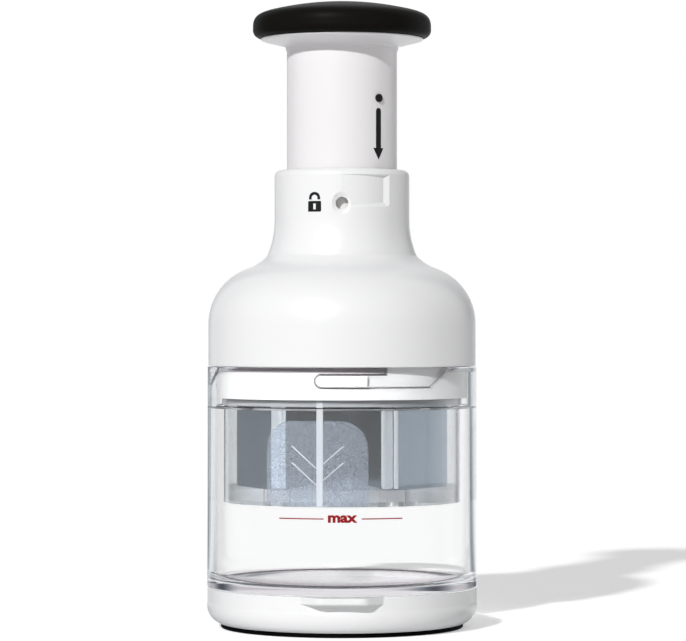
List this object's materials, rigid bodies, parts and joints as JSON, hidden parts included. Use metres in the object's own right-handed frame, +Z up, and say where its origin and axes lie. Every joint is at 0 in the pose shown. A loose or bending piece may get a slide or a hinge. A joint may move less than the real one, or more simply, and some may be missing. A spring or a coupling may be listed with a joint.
{
  "type": "push-down food chopper",
  "caption": "Hand food chopper: pressing a soft knob drives a folded, turning blade down inside a clear cup with a pull-off base.",
  "frame": {"origin": "centre of the ring that the chopper stands on, at table level", "axes": "+Z up along the chopper's axis, -Y towards the front, where the lock hole is, +X to the right seen from the front"},
  "size_m": [0.1082, 0.1133, 0.2505],
  "materials": {
    "white_shell": "gloss",
    "white_plunger": "gloss",
    "bridge_plastic": "gloss",
    "clear_cup": "gloss",
    "frosted_guard": "satin",
    "black_rubber": "matte",
    "knob_rubber": "matte",
    "knob_plastic": "matte",
    "dark_plastic": "matte",
    "acetal": "satin",
    "carrier_plastic": "satin",
    "steel": "satin",
    "blade_steel": "brushed",
    "spring_steel": "satin"
  },
  "bodies": {
    "base": {"base_boot": "white_shell", "foot_ring": "black_rubber"},
    "cup": {"cup": "clear_cup"},
    "head": {"housing": "white_shell", "inner_bridge": "bridge_plastic", "bridge_screws": "steel", "guide_sleeve": "acetal", "ratchet_ring": "acetal", "drive_nut": "acetal", "nut_spring": "spring_steel", "nut_cap": "acetal", "return_spring": "spring_steel"},
    "carriage": {"thrust_washer": "acetal", "buffer_spring": "spring_steel"},
    "knob": {"plunger_tube": "white_plunger", "stop_ring": "acetal", "lock_pin": "dark_plastic", "knob_core": "knob_plastic", "knob_grip": "knob_rubber", "knob_screws": "steel"},
    "carrier": {"shaft_carrier": "acetal"},
    "rotor": {"drive_shaft": "steel", "shaft_clip": "spring_steel", "blade_carrier": "carrier_plastic", "blade_screw": "steel", "blade": "blade_steel"},
    "guard": {"guard_shell": "frosted_guard", "wiper_plate": "frosted_guard"}
  },
  "joints": [
    {"name": "cup_lift", "type": "slide", "parent": "base", "child": "cup", "axis": [0, 0, 1], "range_m": [0, 0.03]},
    {"name": "head_twist", "type": "hinge", "parent": "cup", "child": "head", "pos_m": [0, 0, 0.1045], "axis": [0, 0, 1], "range_deg": [0, 28]},
    {"name": "plunger_press", "type": "slide", "parent": "head", "child": "carriage", "axis": [0, 0, -1], "range_m": [0, 0.042], "stiffness_N_per_m": 350, "springref_m": -0.015, "deforming": ["return_spring", "buffer_spring"]},
    {"name": "lock_turn", "type": "hinge", "parent": "carriage", "child": "knob", "pos_m": [0, 0, 0.226], "axis": [0, 0, 1], "range_deg": [-40.9, 0]},
    {"name": "blade_drop", "type": "slide", "parent": "head", "child": "carrier", "axis": [0, 0, -1], "range_m": [0, 0.0372]},
    {"name": "blade_index", "type": "hinge", "parent": "carrier", "child": "rotor", "pos_m": [0, 0, 0.19], "axis": [0, 0, 1], "range_deg": [0, 44.65]},
    {"name": "guard_index", "type": "hinge", "parent": "head", "child": "guard", "pos_m": [0, 0, 0.0965], "axis": [0, 0, 1], "range_deg": [0, 44.65]}
  ],
  "couplings": [
    {"joint": "blade_drop", "follows": "plunger_press", "ratio": 0.88571},
    {"joint": "blade_index", "follows": "plunger_press", "rad_per_m": 18.55},
    {"joint": "guard_index", "follows": "plunger_press", "rad_per_m": 18.55}
  ]
}
